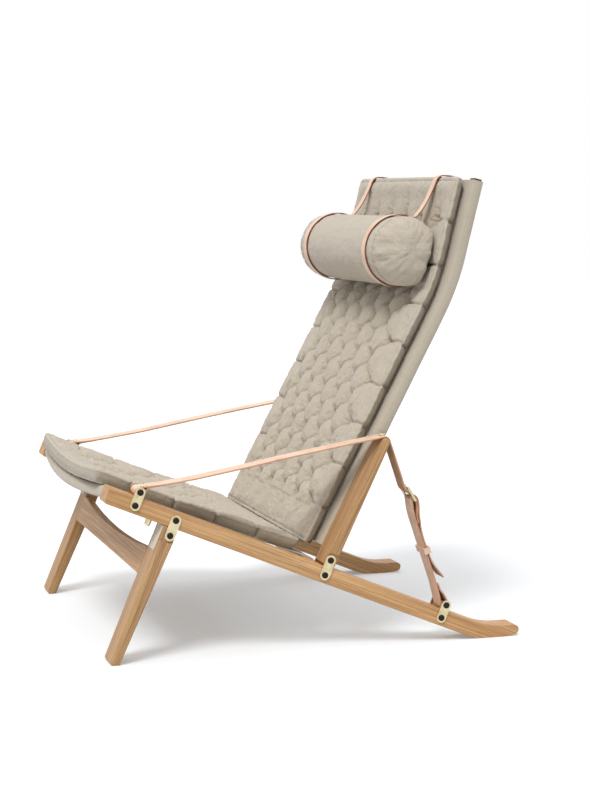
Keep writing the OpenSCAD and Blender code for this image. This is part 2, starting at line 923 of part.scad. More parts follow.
module head_pillow() {
    h = pillow_length / 2;
    stations = [
        [-h, 40], [-h + 3, 52], [-h + 9, 61], [-h + 20, 66], [-h + 40, 68.5], [-h + 75, pillow_radius],
        [h - 75, pillow_radius], [h - 40, 68.5], [h - 20, 66], [h - 9, 61], [h - 3, 52], [h, 40]
    ];
    color(canvas)
        loft([
            for (q = stations)
                [for (p = pillow_ring(q[1], min(q[1], pillow_flat), 32)) [q[0], p[0], p[1]]]
        ]);
}

strap_x = 190;

module pillow_bands() {
    color(leather)
        both_sides()
            difference() {
                prism(
                    pillow_ring(pillow_radius + 3, pillow_flat + 2.7, 48),
                    strap_x - pillow_strap_width / 2,
                    strap_x + pillow_strap_width / 2
                );
                prism(pillow_ring(pillow_radius + 0.5, pillow_flat + 0.4, 48), strap_x - 30, strap_x + 30);
            }
}

front_run = [
    pillow_o + 74.3 * [cos(62), sin(62)],
    [275, 838],
    back_point(762, -35.8),
    back_point(776, -35),
    back_point(784.6, -29),
    back_point(788, -15),
    back_point(789.4, -6),
    back_point(789, 8)
];
weight_o = [359.5, 815];
rear_run = [
    back_point(789, 8.6),
    back_point(788, 16),
    back_point(783, 23),
    back_point(775, 26.5),
    [weight_o[0], 862],
    [weight_o[0], weight_o[1] + 9.2]
];

module pillow_run(path) {
    color(leather)
        both_sides()
            prism(band(path, 2.4), strap_x - pillow_strap_width / 2, strap_x + pillow_strap_width / 2);
}

module pillow_front_straps() {
    pillow_run(front_run);
}

module pillow_rear_straps() {
    pillow_run(rear_run);
}

module counterweight() {
    translate([0, weight_o[0], weight_o[1]])
        rotate([0, 90, 0])
            color(leather)
                rotate_extrude($fn = 48)
                    polygon([
                        [0, -207], [6, -207], [8.2, -205.6], [9, -203],
                        [9, 203], [8.2, 205.6], [6, 207], [0, 207]
                    ]);
}

left_rail();
right_rail();
left_front_link_plates();
right_front_link_plates();
left_rear_link_plates();
right_rear_link_plates();
left_front_strap_bracket();
right_front_strap_bracket();
left_rear_strap_bracket();
right_rear_strap_bracket();
strap_rollers();
link_rail_bolts();
leg_pivot_bolts();
post_pivot_bolts();
bracket_rail_bolts();
roller_bolts();
rail_studs();
seat_front_batten();
seat_rear_batten();
seat_sling();
seat_pad();
left_arm_strap();
right_arm_strap();
left_lower_strap();
right_lower_strap();
left_buckle();
right_buckle();
left_strap_keeper();
right_strap_keeper();
left_leg();
right_leg();
leg_cross_rail();
cross_rail_dowels();
leg_face_pads();
left_post();
right_post();
left_pole();
right_pole();
pole_caps();
back_top_bar();
back_top_hem();
back_sling();
pole_screws();
strap_studs();
back_pad();
head_pillow();
pillow_bands();
pillow_front_straps();
counterweight();
pillow_rear_straps();
left_buckle_tongue();
right_buckle_tongue();
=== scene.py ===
import math

import bpy
import numpy as np
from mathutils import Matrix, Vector


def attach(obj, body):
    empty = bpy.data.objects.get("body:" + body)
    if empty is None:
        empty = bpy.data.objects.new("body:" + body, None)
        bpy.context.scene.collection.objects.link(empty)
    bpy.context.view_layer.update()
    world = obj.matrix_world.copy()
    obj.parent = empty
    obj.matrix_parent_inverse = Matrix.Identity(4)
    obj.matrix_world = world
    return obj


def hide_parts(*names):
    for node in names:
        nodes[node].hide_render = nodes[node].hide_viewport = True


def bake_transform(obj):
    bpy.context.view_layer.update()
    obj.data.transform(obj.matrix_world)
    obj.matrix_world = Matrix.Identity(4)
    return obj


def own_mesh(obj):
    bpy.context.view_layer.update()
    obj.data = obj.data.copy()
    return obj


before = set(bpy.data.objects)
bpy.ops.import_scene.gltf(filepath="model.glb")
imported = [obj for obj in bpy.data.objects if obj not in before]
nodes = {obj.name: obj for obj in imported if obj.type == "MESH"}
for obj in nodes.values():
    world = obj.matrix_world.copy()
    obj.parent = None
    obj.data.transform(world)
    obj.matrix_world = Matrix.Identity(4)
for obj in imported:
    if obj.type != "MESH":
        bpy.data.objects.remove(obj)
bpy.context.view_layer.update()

# Geometry shared with part.scad, in millimetres. Side points are (y, z).

FRONT = np.array([-394.5, 332.0])
TILT = math.radians(22.5)
POST_PIVOT, POST_LEAN = np.array([27.0719, 173.0739]), math.radians(27.3)
# the back runs straight from its foot, then turns upright on a wide radius
BACK_FOOT = np.array([17.7, 178.0])
BACK_LEAN, TOP_LEAN = math.radians(27.7), math.radians(14)
STRAIGHT, RADIUS = 516.0, 480.0
TURN = RADIUS * (BACK_LEAN - TOP_LEAN)
# half widths of the seat sling, the pads and the tufted field
SLING_HALF, PAD_HALF, FIELD_HALF = 310, 286, 215
# pitch of the tufts across and along, and the spacing of the diagonal folds between them
PX, PT, FOLD = 86.0, 87.3, 61
SEAT_RUN = 414
SEAT_ENDS, SEAT_TUFTS = (-18, 407), (58, 3)
BACK_ENDS, BACK_TUFTS = (6, 783), (84, 7)
STITCH_INSET = 8.5


def tilted(o, lean, a, b):
    """Side points a along and b above a line from o that falls by lean."""
    a, b = np.asarray(a, float), np.asarray(b, float)
    return np.stack([o[0] + a * math.cos(lean) + b * math.sin(lean),
                     o[1] - a * math.sin(lean) + b * math.cos(lean)], -1)


def rail_point(s, h):
    """Side points s behind the front of the rails and h above their top edge."""
    return tilted(FRONT, TILT, s, h)


def back_point(t, m):
    """Side points t up the back and m behind its line."""
    t, m = np.broadcast_arrays(np.asarray(t, float), np.asarray(m, float))
    a = np.clip(BACK_LEAN - (t - STRAIGHT) / RADIUS, TOP_LEAN, BACK_LEAN)
    low = np.minimum(t, STRAIGHT)
    y = BACK_FOOT[0] + low * math.sin(BACK_LEAN) + RADIUS * (np.cos(a) - math.cos(BACK_LEAN))
    z = BACK_FOOT[1] + low * math.cos(BACK_LEAN) + RADIUS * (math.sin(BACK_LEAN) - np.sin(a))
    over = np.maximum(0, t - STRAIGHT - TURN)
    y = y + over * math.sin(TOP_LEAN) + m * np.cos(a)
    z = z + over * math.cos(TOP_LEAN) - m * np.sin(a)
    return np.stack([y, z], -1)


def fall(x):
    """Share of the seat sling's sag at x: 1 in the middle and 0 at the rails."""
    return 1 - np.clip(np.asarray(x, float) / SLING_HALF, -1, 1) ** 2


def sling_h(x, s):
    """Height of the seat sling above the rails' top edge."""
    u = np.clip(np.asarray(s, float) / SEAT_RUN, 0, 1)
    return -3.1 + 5 * u - fall(x) * (19 * (1 - u) + 88 * u * (1 - u))


def back_sag(t):
    """How far the middle of the back sling lies behind the line of the back."""
    return 15 * (1 - np.clip((np.asarray(t, float) - 391) / 373, -1, 1) ** 2)


def across(x, p):
    """Joins x and side points into points."""
    return np.concatenate([np.asarray(x)[..., None], p], -1)


def arc_length(p):
    return np.concatenate([[0], np.cumsum(np.linalg.norm(np.diff(p, axis=0), axis=1))])


def hash_noise(p, seed):
    n = np.sin(p @ np.array([12.9898, 78.233, 37.719]) + seed * 3.17) * 43758.5453
    return n - np.floor(n)


def value_noise(x, y, seed):
    """Smooth noise from -1 to 1, the same in each run."""
    xi, yi = np.floor(x), np.floor(y)
    fx, fy = x - xi, y - yi
    fx, fy = fx * fx * (3 - 2 * fx), fy * fy * (3 - 2 * fy)

    def corner(dx, dy):
        return hash_noise(np.stack([xi + dx, yi + dy, 0 * xi], -1), seed)

    top = corner(0, 0) * (1 - fx) + corner(1, 0) * fx
    low = corner(0, 1) * (1 - fx) + corner(1, 1) * fx
    return (top * (1 - fy) + low * fy) * 2 - 1


# Materials


def lin(r, g, b):
    """A linear colour from sRGB bytes."""
    return tuple(((c / 255 + 0.055) / 1.055) ** 2.4 if c > 10 else c / 255 / 12.92 for c in (r, g, b)) + (1.0,)


def shade(rgb, *factors):
    """A colour times one factor, or one per channel."""
    factors = factors * 3 if len(factors) == 1 else factors
    return tuple(min(1, c * k) for c, k in zip(rgb[:3], factors)) + (1,)


class Mat:
    """A small wrapper that adds nodes to one material."""

    def __init__(self, name):
        self.m = bpy.data.materials.new(name)
        self.m.use_nodes = True
        self.t = self.m.node_tree
        self.b = self.t.nodes["Principled BSDF"]
        self.co = self.t.nodes.new("ShaderNodeTexCoord").outputs["Object"]

    def put(self, socket, value):
        """Links a socket to another one, or gives it a value."""
        if isinstance(value, bpy.types.NodeSocket):
            self.t.links.new(value, socket)
        else:
            socket.default_value = value

    def node(self, kind, inputs=None, **props):
        n = self.t.nodes.new("ShaderNode" + kind)
        for k, v in props.items():
            setattr(n, k, v)
        for k, v in (inputs or {}).items():
            self.put(n.inputs[k], v)
        return n

    def scaled(self, co, scale):
        return self.node("Mapping", {"Vector": co, "Scale": scale}).outputs[0]

    def noise(self, co, scale, detail, rough):
        inputs = {"Vector": co, "Scale": scale, "Detail": detail, "Roughness": rough}
        return self.node("TexNoise", inputs).outputs[0]

    def ramp(self, fac, stops):
        r = self.node("ValToRGB", {"Fac": fac})
        e = r.color_ramp.elements
        while len(e) < len(stops):
            e.new(0.5)
        for el, (p, c) in zip(e, stops):
            el.position, el.color = p, c
        return r.outputs[0]

    def mask(self, fac, low, high):
        """Black below low, white above high."""
        return self.ramp(fac, [(low, (0, 0, 0, 1)), (high, (1, 1, 1, 1))])

    def math(self, op, a, b=0.0):
        return self.node("Math", {0: a, 1: b}, operation=op).outputs[0]

    def times(self, a, b):
        return self.math("MULTIPLY", a, b)

    def plus(self, a, b):
        return self.math("ADD", a, b)

    def mix(self, fac, a, b):
        """Colour a, moved toward b by fac."""
        return self.node("Mix", {0: fac, 6: a, 7: b}, data_type="RGBA").outputs[2]

    def bump(self, height, strength, distance, normal=None):
        n = self.node("Bump", {"Height": height, "Strength": strength, "Distance": distance})
        if normal is not None:
            self.t.links.new(normal, n.inputs["Normal"])
        return n.outputs[0]

    def out(self, **sockets):
        for k, v in sockets.items():
            self.put(self.b.inputs[k.replace("_", " ")], v)
        return self.m


def oak(name, angle, cross=False, tint=1.0):
    """Straight-grained oak whose grain runs along +Y turned by angle about X, or along X."""
    m = Mat(name)
    rot = (0, 0, math.radians(90)) if cross else (angle, 0, 0)
    turned = m.node("Mapping", {"Vector": m.co, "Rotation": rot}).outputs[0]

    def along(a, b):
        """Coordinates scaled by a along the grain and by b across it."""
        return m.scaled(turned, (b, a, b))

    def tone(r, g, b):
        return lin(r * tint, g * tint, b * tint)

    broad = m.noise(along(1.6, 34), 1.0, 3, 0.5)
    streak = m.noise(along(2.6, 330), 1.0, 3, 0.6)
    wave = m.node("TexWave", {"Vector": along(2.2, 60), "Scale": 1.0, "Distortion": 9.0, "Detail": 3.0,
                              "Detail Scale": 1.4}, wave_type="BANDS", bands_direction="X").outputs["Fac"]
    fine = m.noise(along(7, 620), 1.0, 3, 0.6)
    pores = m.noise(along(38, 1500), 1.0, 2, 0.5)
    pit = m.mask(pores, 0.60, 0.68)
    col = m.ramp(broad, [(0.3, tone(194, 147, 95)), (0.52, tone(211, 166, 113)), (0.75, tone(224, 183, 133))])
    for fac, part, dark in ((wave, 0.30, (158, 110, 66)), (m.mask(streak, 0.48, 0.62), 0.6, (146, 100, 58)),
                            (m.mask(fine, 0.46, 0.6), 0.42, (150, 106, 66)), (pit, 0.42, (112, 74, 42))):
        col = m.mix(m.times(fac, part), col, tone(*dark))
    h = m.math("SUBTRACT", m.times(fine, 0.5), m.times(pit, 0.5))
    rough = m.plus(m.times(fine, 0.18), 0.40)
    return m.out(Base_Color=col, Roughness=rough, Normal=m.bump(h, 0.35, 0.0004))


def canvas(name, rgb, creases=0.2):
    """Plain woven canvas: warp and weft threads, slubs and a soft mottled colour, from UVs in metres."""
    m = Mat(name)
    uv = m.node("UVMap").outputs[0]
    sep = m.node("SeparateXYZ", {"Vector": uv}).outputs
    thread_turn = 2 * math.pi / 0.0011

    def both_ways(a, b, detail, rough):
        """The sum of one stretched noise along the warp and one along the weft."""
        return m.plus(*(m.noise(m.scaled(uv, (*ab, 1)), 1.0, detail, rough) for ab in ((a, b), (b, a))))

    weave = m.times(*(m.math("SINE", m.times(sep[i], thread_turn)) for i in (0, 1)))
    threads = both_ways(3500, 60, 2, 0.5)
    pick = m.noise(m.scaled(uv, (700, 700, 1)), 1.0, 3, 0.7)
    grain = m.plus(m.times(both_ways(520, 26, 3, 0.6), 0.25), m.times(pick, 0.5))
    deep = shade(rgb, 0.82)
    col = m.ramp(grain, [(0.36, deep), (0.5, rgb), (0.64, shade(rgb, 1.10))])
    col = m.mix(m.times(m.mask(weave, 0.0, 1.0), 0.22), col, deep)
    col = m.mix(m.times(m.mask(m.noise(m.co, 14.0, 4, 0.6), 0.35, 0.7), 0.25), col, shade(rgb, 0.9))
    fold = m.math("ABSOLUTE", m.math("SUBTRACT", m.noise(m.co, 34.0, 3, 0.55), 0.5))
    crumple = m.bump(m.math("MINIMUM", fold, 0.07), creases, 0.022)
    crumple = m.bump(m.noise(m.co, 55.0, 3, 0.6), 0.25, 0.0018, crumple)
    return m.out(Base_Color=col, Roughness=0.92, Sheen_Weight=0.25, Sheen_Roughness=0.6, Specular_IOR_Level=0.2,
                 Normal=m.bump(m.plus(m.times(weave, 0.35), threads), 0.5, 0.00035, crumple))


def leather(name, rgb, rough=0.5):
    m = Mat(name)
    cells = m.node("TexVoronoi", {"Vector": m.co, "Scale": 900.0}).outputs["Distance"]
    pores = m.noise(m.co, 480.0, 3, 0.6)
    cloud = m.noise(m.co, 26.0, 4, 0.6)
    fibre = m.noise(m.co, 120.0, 5, 0.65)
    deep = shade(rgb, 0.86, 0.78, 0.70)
    col = m.ramp(cloud, [(0.32, deep), (0.52, rgb), (0.72, shade(rgb, 1.08))])
    col = m.mix(m.times(fibre, 0.25), col, deep)
    h = m.plus(cells, m.times(pores, 0.6))
    r = m.plus(m.times(fibre, 0.25), rough - 0.12)
    return m.out(Base_Color=col, Roughness=r, Specular_IOR_Level=0.4, Coat_Weight=0.08, Coat_Roughness=0.35,
                 Normal=m.bump(h, 0.22, 0.0004))


def brass(name, rgb):
    m = Mat(name)
    brushed = m.noise(m.scaled(m.co, (60, 900, 900)), 1.0, 3, 0.6)
    cloud = m.noise(m.co, 60.0, 4, 0.6)
    col = m.ramp(cloud, [(0.3, shade(rgb, 0.74, 0.68, 0.55)), (0.52, rgb), (0.75, shade(rgb, 1.12))])
    r = m.plus(m.times(brushed, 0.22), 0.22)
    return m.out(Base_Color=col, Metallic=1.0, Roughness=r, Normal=m.bump(brushed, 0.12, 0.0003))


def black_steel(name):
    m = Mat(name)
    wear = m.noise(m.co, 180.0, 5, 0.65)
    col = m.ramp(wear, [(0.45, lin(26, 20, 17)), (0.62, lin(38, 29, 23)), (0.78, lin(78, 58, 40))])
    r = m.plus(m.times(wear, 0.3), 0.28)
    return m.out(Base_Color=col, Metallic=0.6, Roughness=r, Normal=m.bump(wear, 0.2, 0.0004))


def plain(name, rgb, rough=0.6):
    m = Mat(name)
    n = m.noise(m.co, 300.0, 4, 0.6)
    col = m.ramp(n, [(0.35, shade(rgb, 0.8)), (0.65, rgb)])
    return m.out(Base_Color=col, Roughness=rough, Normal=m.bump(n, 0.2, 0.0003))


M = {
    "rail": oak("oak_rail", TILT),
    "leg": oak("oak_leg", TILT + math.radians(90), tint=0.91),
    "post": oak("oak_post", POST_LEAN + math.radians(90), tint=0.92),
    "cross": oak("oak_cross", 0, cross=True),
    "canvas": canvas("linen_canvas", lin(190, 179, 162), creases=0.55),
    # the pads' boxed sides: canvas painted darker, as painted shade for walls that the light hardly reaches
    "boxed_side_painted_shade": canvas("linen_boxed_side_painted_shade", lin(172, 161, 143), creases=0.4),
    "canvas_back": canvas("linen_sling", lin(186, 175, 157)),
    "thread": plain("stitch_thread", lin(126, 112, 92), 0.8),
    "leather": leather("strap_leather", lin(230, 198, 174)),
    "flesh": leather("strap_flesh", lin(186, 146, 112), rough=0.75),
    "edge": leather("strap_edge", lin(152, 100, 78), rough=0.6),
    "edge_pale": leather("strap_edge_pale", lin(196, 150, 122), rough=0.6),
    "brass": brass("pale_brass", lin(214, 201, 164)),
    "black": black_steel("blackened_steel"),
    "cap": plain("end_cap", lin(44, 36, 30)),
    "felt": canvas("leg_felt", lin(206, 196, 178)),
}


# the material of each node whose name holds one of the words; the rest are leather
WEARS = (("black", ("bolts", "screws")), ("brass", ("plates", "bracket", "rollers", "buckle", "studs")),
         ("cap", ("pole_caps",)), ("cross", ("cross_rail", "batten", "top_bar")), ("rail", ("_rail",)),
         ("leg", ("left_leg", "right_leg")), ("post", ("_post", "_pole")), ("felt", ("leg_face_pads",)),
         ("canvas_back", ("back_top_hem",)))
for name, o in nodes.items():
    mat = next((mat for mat, words in WEARS if any(word in name for word in words)), "leather")
    o.data.materials.clear()
    o.data.materials.append(M[mat])
    for p in o.data.polygons:
        p.material_index = 0


# Mesh helpers: points and UVs in millimetres, faces as tuples of indices


def quads(rows, columns, wrap=False):
    """Faces of a grid of points. With wrap, each row closes on itself."""
    c = columns
    return [(i * c + j, i * c + (j + 1) % c, (i + 1) * c + (j + 1) % c, (i + 1) * c + j)
            for i in range(rows - 1) for j in range(c if wrap else c - 1)]


class Build:
    """Gathers points, faces, a material per face and UVs, and makes one object of them."""

    def __init__(self):
        self.v, self.f, self.m, self.uv, self.mats = [], [], [], [], []

    def mat(self, name):
        if name not in self.mats:
            self.mats.append(name)
        return self.mats.index(name)

    def add(self, pts, faces, mat, uv=None):
        """mat is one name, or one name per face."""
        base = sum(len(a) for a in self.v)
        pts = np.asarray(pts, float).reshape(-1, 3)
        self.v.append(pts)
        self.uv.append(np.zeros((len(pts), 2)) if uv is None else np.asarray(uv, float).reshape(-1, 2))
        k = self.mat(mat) if isinstance(mat, str) else None
        for i, f in enumerate(faces):
            self.f.append(tuple(base + j for j in f))
            self.m.append(k if k is not None else self.mat(mat[i]))

    def grid(self, pts, mat, uv=None, wrap=False):
        """pts has shape (rows, columns, 3)."""
        self.add(pts, quads(*pts.shape[:2], wrap), mat, uv)

    def make(self, name, body=None, slot=None):
        """Makes the object in metres, and sets it on the body that it rides on; slot is not used."""
        me = bpy.data.meshes.new(name)
        v = np.concatenate(self.v) / 1000
        me.from_pydata(v.tolist(), [], self.f)
        for n in self.mats:
            me.materials.append(M[n])
        me.polygons.foreach_set("material_index", self.m)
        me.polygons.foreach_set("use_smooth", [True] * len(self.f))
        layer = me.uv_layers.new(name="UVMap")
        idx = np.zeros(len(me.loops), int)
        me.loops.foreach_get("vertex_index", idx)
        layer.data.foreach_set("uv", (np.concatenate(self.uv)[idx] / 1000).astype(np.float32).ravel())
        me.update()
        o = bpy.data.objects.new(name, me)
        bpy.context.scene.collection.objects.link(o)
        if body:
            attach(o, body)
        return o


def sheet_mesh(rows, uvs):
    """A closed sheet from one outline of its section per row, with both ends filled."""
    rows, uvs = np.array(rows), np.array(uvs)
    b = Build()
    b.grid(rows, "canvas_back", uvs, wrap=True)
    k = rows.shape[1]
    faces = [(j, j + 1, k - 2 - j, k - 1 - j) for j in range(k // 2 - 1)]
    for end in (0, len(rows) - 1):
        b.add(rows[end], faces, "canvas_back", uvs[end])
    return b


def path_normals(p):
    """Directions along a path and its normals."""
    d = np.gradient(p, axis=0)
    d /= np.linalg.norm(d, axis=1)[:, None]
    return d, np.stack([-d[:, 1], d[:, 0]], -1)


def resample(p, step):
    """Spaces the points of a path evenly."""
    p = np.asarray(p, float)
    d = arc_length(p)
    n = max(2, int(round(d[-1] / step)) + 1)
    t = np.linspace(0, d[-1], n)
    return np.stack([np.interp(t, d, p[:, k]) for k in range(p.shape[1])], -1)


def smooth_path(p, step):
    """Cuts the corners of a path twice, then spaces its points evenly."""
    p = np.asarray(p, float)
    for _ in range(2):
        q = [p[0]]
        for a, b in zip(p[:-1], p[1:]):
            q += [a * 0.75 + b * 0.25, a * 0.25 + b * 0.75]
        p = np.array(q + [p[-1]])
    return resample(p, step)


def strap(build, path, x0, x1, thick, out, inn, edge, cup=0.0, wear=0.0, seed=1, skive=0.0, loop=False):
    """A leather strap along a side path: rounded edges, cupped and uneven, its start pared thin over skive."""
    n = path_normals(path)[1]
    w = x1 - x0
    r = thick * 0.36
    half = thick / 2
    xs = np.array([0, 0.25, 0.5, 0.75, 1.0])
    top = [(x0 + r + (w - 2 * r) * u, half) for u in xs]
    low = [(x1 - r - (w - 2 * r) * u, -half) for u in xs]
    right = [(x1 - r * 0.3, half - r * 0.3), (x1, half - r), (x1, -half + r), (x1 - r * 0.3, -half + r * 0.3)]
    left = [(x0 + r * 0.3, -half + r * 0.3), (x0, -half + r), (x0, half - r), (x0 + r * 0.3, half - r * 0.3)]
    sec = np.array(top + right + low + left)
    k = len(sec)
    length = arc_length(path)
    wob = value_noise(length / 60, 0 * length, seed) * wear
    side = value_noise(length / 95, 0 * length + 5, seed + 2) * wear * 0.8
    mid = (x0 + x1) / 2
    u = (sec[:, 0] - mid) / (w / 2)
    rows = []
    for i in range(len(path)):
        thin = 0.2 + 0.8 * min(1, length[i] / skive) if skive else 1
        off = np.where(sec[:, 1] < 0, sec[:, 1], sec[:, 1] * (2 * thin - 1)) + cup * u * u + wob[i]
        yz = path[i][None, :] + n[i][None, :] * off[:, None]
        rows.append(np.concatenate([(sec[:, 0] + side[i])[:, None], yz], 1))
    pts = np.array(rows)
    per = arc_length(sec)
    uv = np.stack([np.tile(per, (len(path), 1)), np.tile(length[:, None], (1, k))], -1)
    names = [out] * 4 + [edge] * 5 + [inn] * 4 + [edge] * (k - 13)
    faces = quads(len(path), k, wrap=True)
    mats = names * (len(path) - 1)
    if not loop:
        faces += [tuple(range(k - 1, -1, -1)), tuple((len(path) - 1) * k + j for j in range(k))]
        mats += [edge, edge]
    build.add(pts, faces, mats, uv)


def stitches(build, path, height, x, pitch):
    """Saddle stitches, height above a side path."""
    long, radius = 3.6, 0.5
    d = path_normals(path)[0]
    length = arc_length(path)
    for i in range(int(length[-1] // pitch)):
        s = (i + 0.5) * pitch
        c = np.array([np.interp(s, length, path[:, q]) for q in (0, 1)])
        dd = np.array([np.interp(s, length, d[:, q]) for q in (0, 1)])
        nn = np.array([-dd[1], dd[0]])
        rows = []
        for a, w in ((-0.5, 0.35), (-0.3, 1), (0, 1.15), (0.3, 1), (0.5, 0.35)):
            ring = []
            for g in np.arange(6) * math.pi / 3:
                yz = c + dd * a * long + nn * (height + math.sin(g) * radius * w)
                ring.append([x + math.cos(g) * radius * w, *yz])
            rows.append(ring)
        build.grid(np.array(rows), "thread", wrap=True)


# Quilted pads: one closed cover each, with boxed sides, and folds between sewn tufts, then inflated as cloth


def quilt(x, t, t0, rows, amp):
    """Relief of the quilted face: soft folds between tufts, keen creases with gathers, and darts at the sides."""
    t1 = t0 + PT * rows
    xi = np.clip(np.abs(x), 0, FIELD_HALF)
    ti = np.clip(t, t0, t1)
    # cx and ct count the tufts, u and v the diagonal lines between them, and dx and dt leave the tufted field
    cx, ct = (np.sign(x) * xi - PX / 2) / PX, (ti - t0) / PT
    u, v = cx + ct, cx - ct
    ru, rv = np.abs(u - np.round(u)), np.abs(v - np.round(v))
    dist = np.hypot(ru, rv) * FOLD
    dt = np.maximum(0, np.maximum(t0 - t, t - t1))
    dx = np.maximum(0, np.abs(x) - FIELD_HALF)
    out_x, out_t = dx > 0, dt > 0
    # soft folds: rounded diamonds inside the field, lobes between the darts and gathers outside it
    round_ = (np.abs(np.sin(np.pi * u)) * np.abs(np.sin(np.pi * v)) + 1e-9) ** 0.6
    base = 0.45 * round_ + 0.55 * (2 * np.minimum(ru, rv)) ** 0.75
    f = 1 - (1 - base) * (1 - 0.78 * (1 - np.exp(-(dist / 20) ** 2)))
    rt, rx = np.abs(ct - np.round(ct)) * PT, np.abs(cx - np.round(cx)) * PX
    side = 1 - np.exp(-(rt / 15) ** 1.3) * np.exp(-dx / 30)
    end = 1 - np.exp(-(rx / 15) ** 1.3) * np.exp(-dt / 42)
    f = np.where(out_x & ~out_t, side, f)
    f = np.where(out_t & ~out_x, end, f)
    f = np.where(out_t & out_x, np.maximum(side, end), f)
    # keen creases along the diagonals, deeper at the tufts, with pinches of uneven depth
    line = np.minimum(ru, rv) * FOLD
    crease = np.exp(-(line / 2.0) ** 2) * (0.5 + 3.9 * np.exp(-dist / 15))
    su, sv = u - np.round(u), v - np.round(v)
    ex, et = PX * (su + sv) / 2, PT * (su - sv) / 2
    luck = 0.5 + hash_noise(np.stack([np.round(u), np.round(v), 0 * u], -1), 5)
    lengthwise = 6.4 * np.exp(-(ex / 2.2) ** 2 - np.abs(et) / 16)
    crosswise = 4.0 * np.exp(-(et / 2.2) ** 2 - np.abs(ex) / 12)
    pinch = (lengthwise + crosswise) * luck
    skew = np.where(luck > 1, 1, -1) * (ex + et * 1.6)
    pinch = pinch + 2.6 * np.exp(-(skew / 2.6) ** 2 - dist / 16)
    crease = np.where(out_x | out_t, 0, crease + pinch)
    # darts that run to the sides with a bend, gathers that run to the ends, and a pit at each tuft
    hook = 3.5 * np.sin(ct * 2.4 + np.sign(x)) * np.clip(dx / 50, 0, 1)
    dart = np.abs(ct * PT + hook - np.round(ct) * PT)
    notch = np.exp(-(dart / 2.3) ** 2) * np.clip(dx / 8, 0, 1) * (dt < 4)
    which = hash_noise(np.stack([np.round(cx), np.sign(t - t0), 0 * cx], -1), 9)
    gather = np.exp(-((rx + (which - 0.5) * dt * 0.25) / 3.2) ** 2) * np.clip(dt / 8, 0, 1) * (dx < 4)
    gather = gather * np.exp(-dt / (28 + 40 * which)) * (0.6 + which)
    pit = np.where((dx > 12) | (dt > 12), 0, np.exp(-(dist / 9.0) ** 2))
    # wrinkles about the tufts
    near = np.exp(-dist / 24) * np.exp(-(dx + dt) / 30)
    wave = np.abs(value_noise(x / 11 + 7, t / 11, 61)) + 0.6 * np.abs(value_noise(x / 6, t / 6 + 3, 67))
    keen = crease + 6.5 * pit + 5.2 * near * (wave - 0.5) + 4.2 * gather
    return amp * (f - 1), -keen, -5.0 * notch


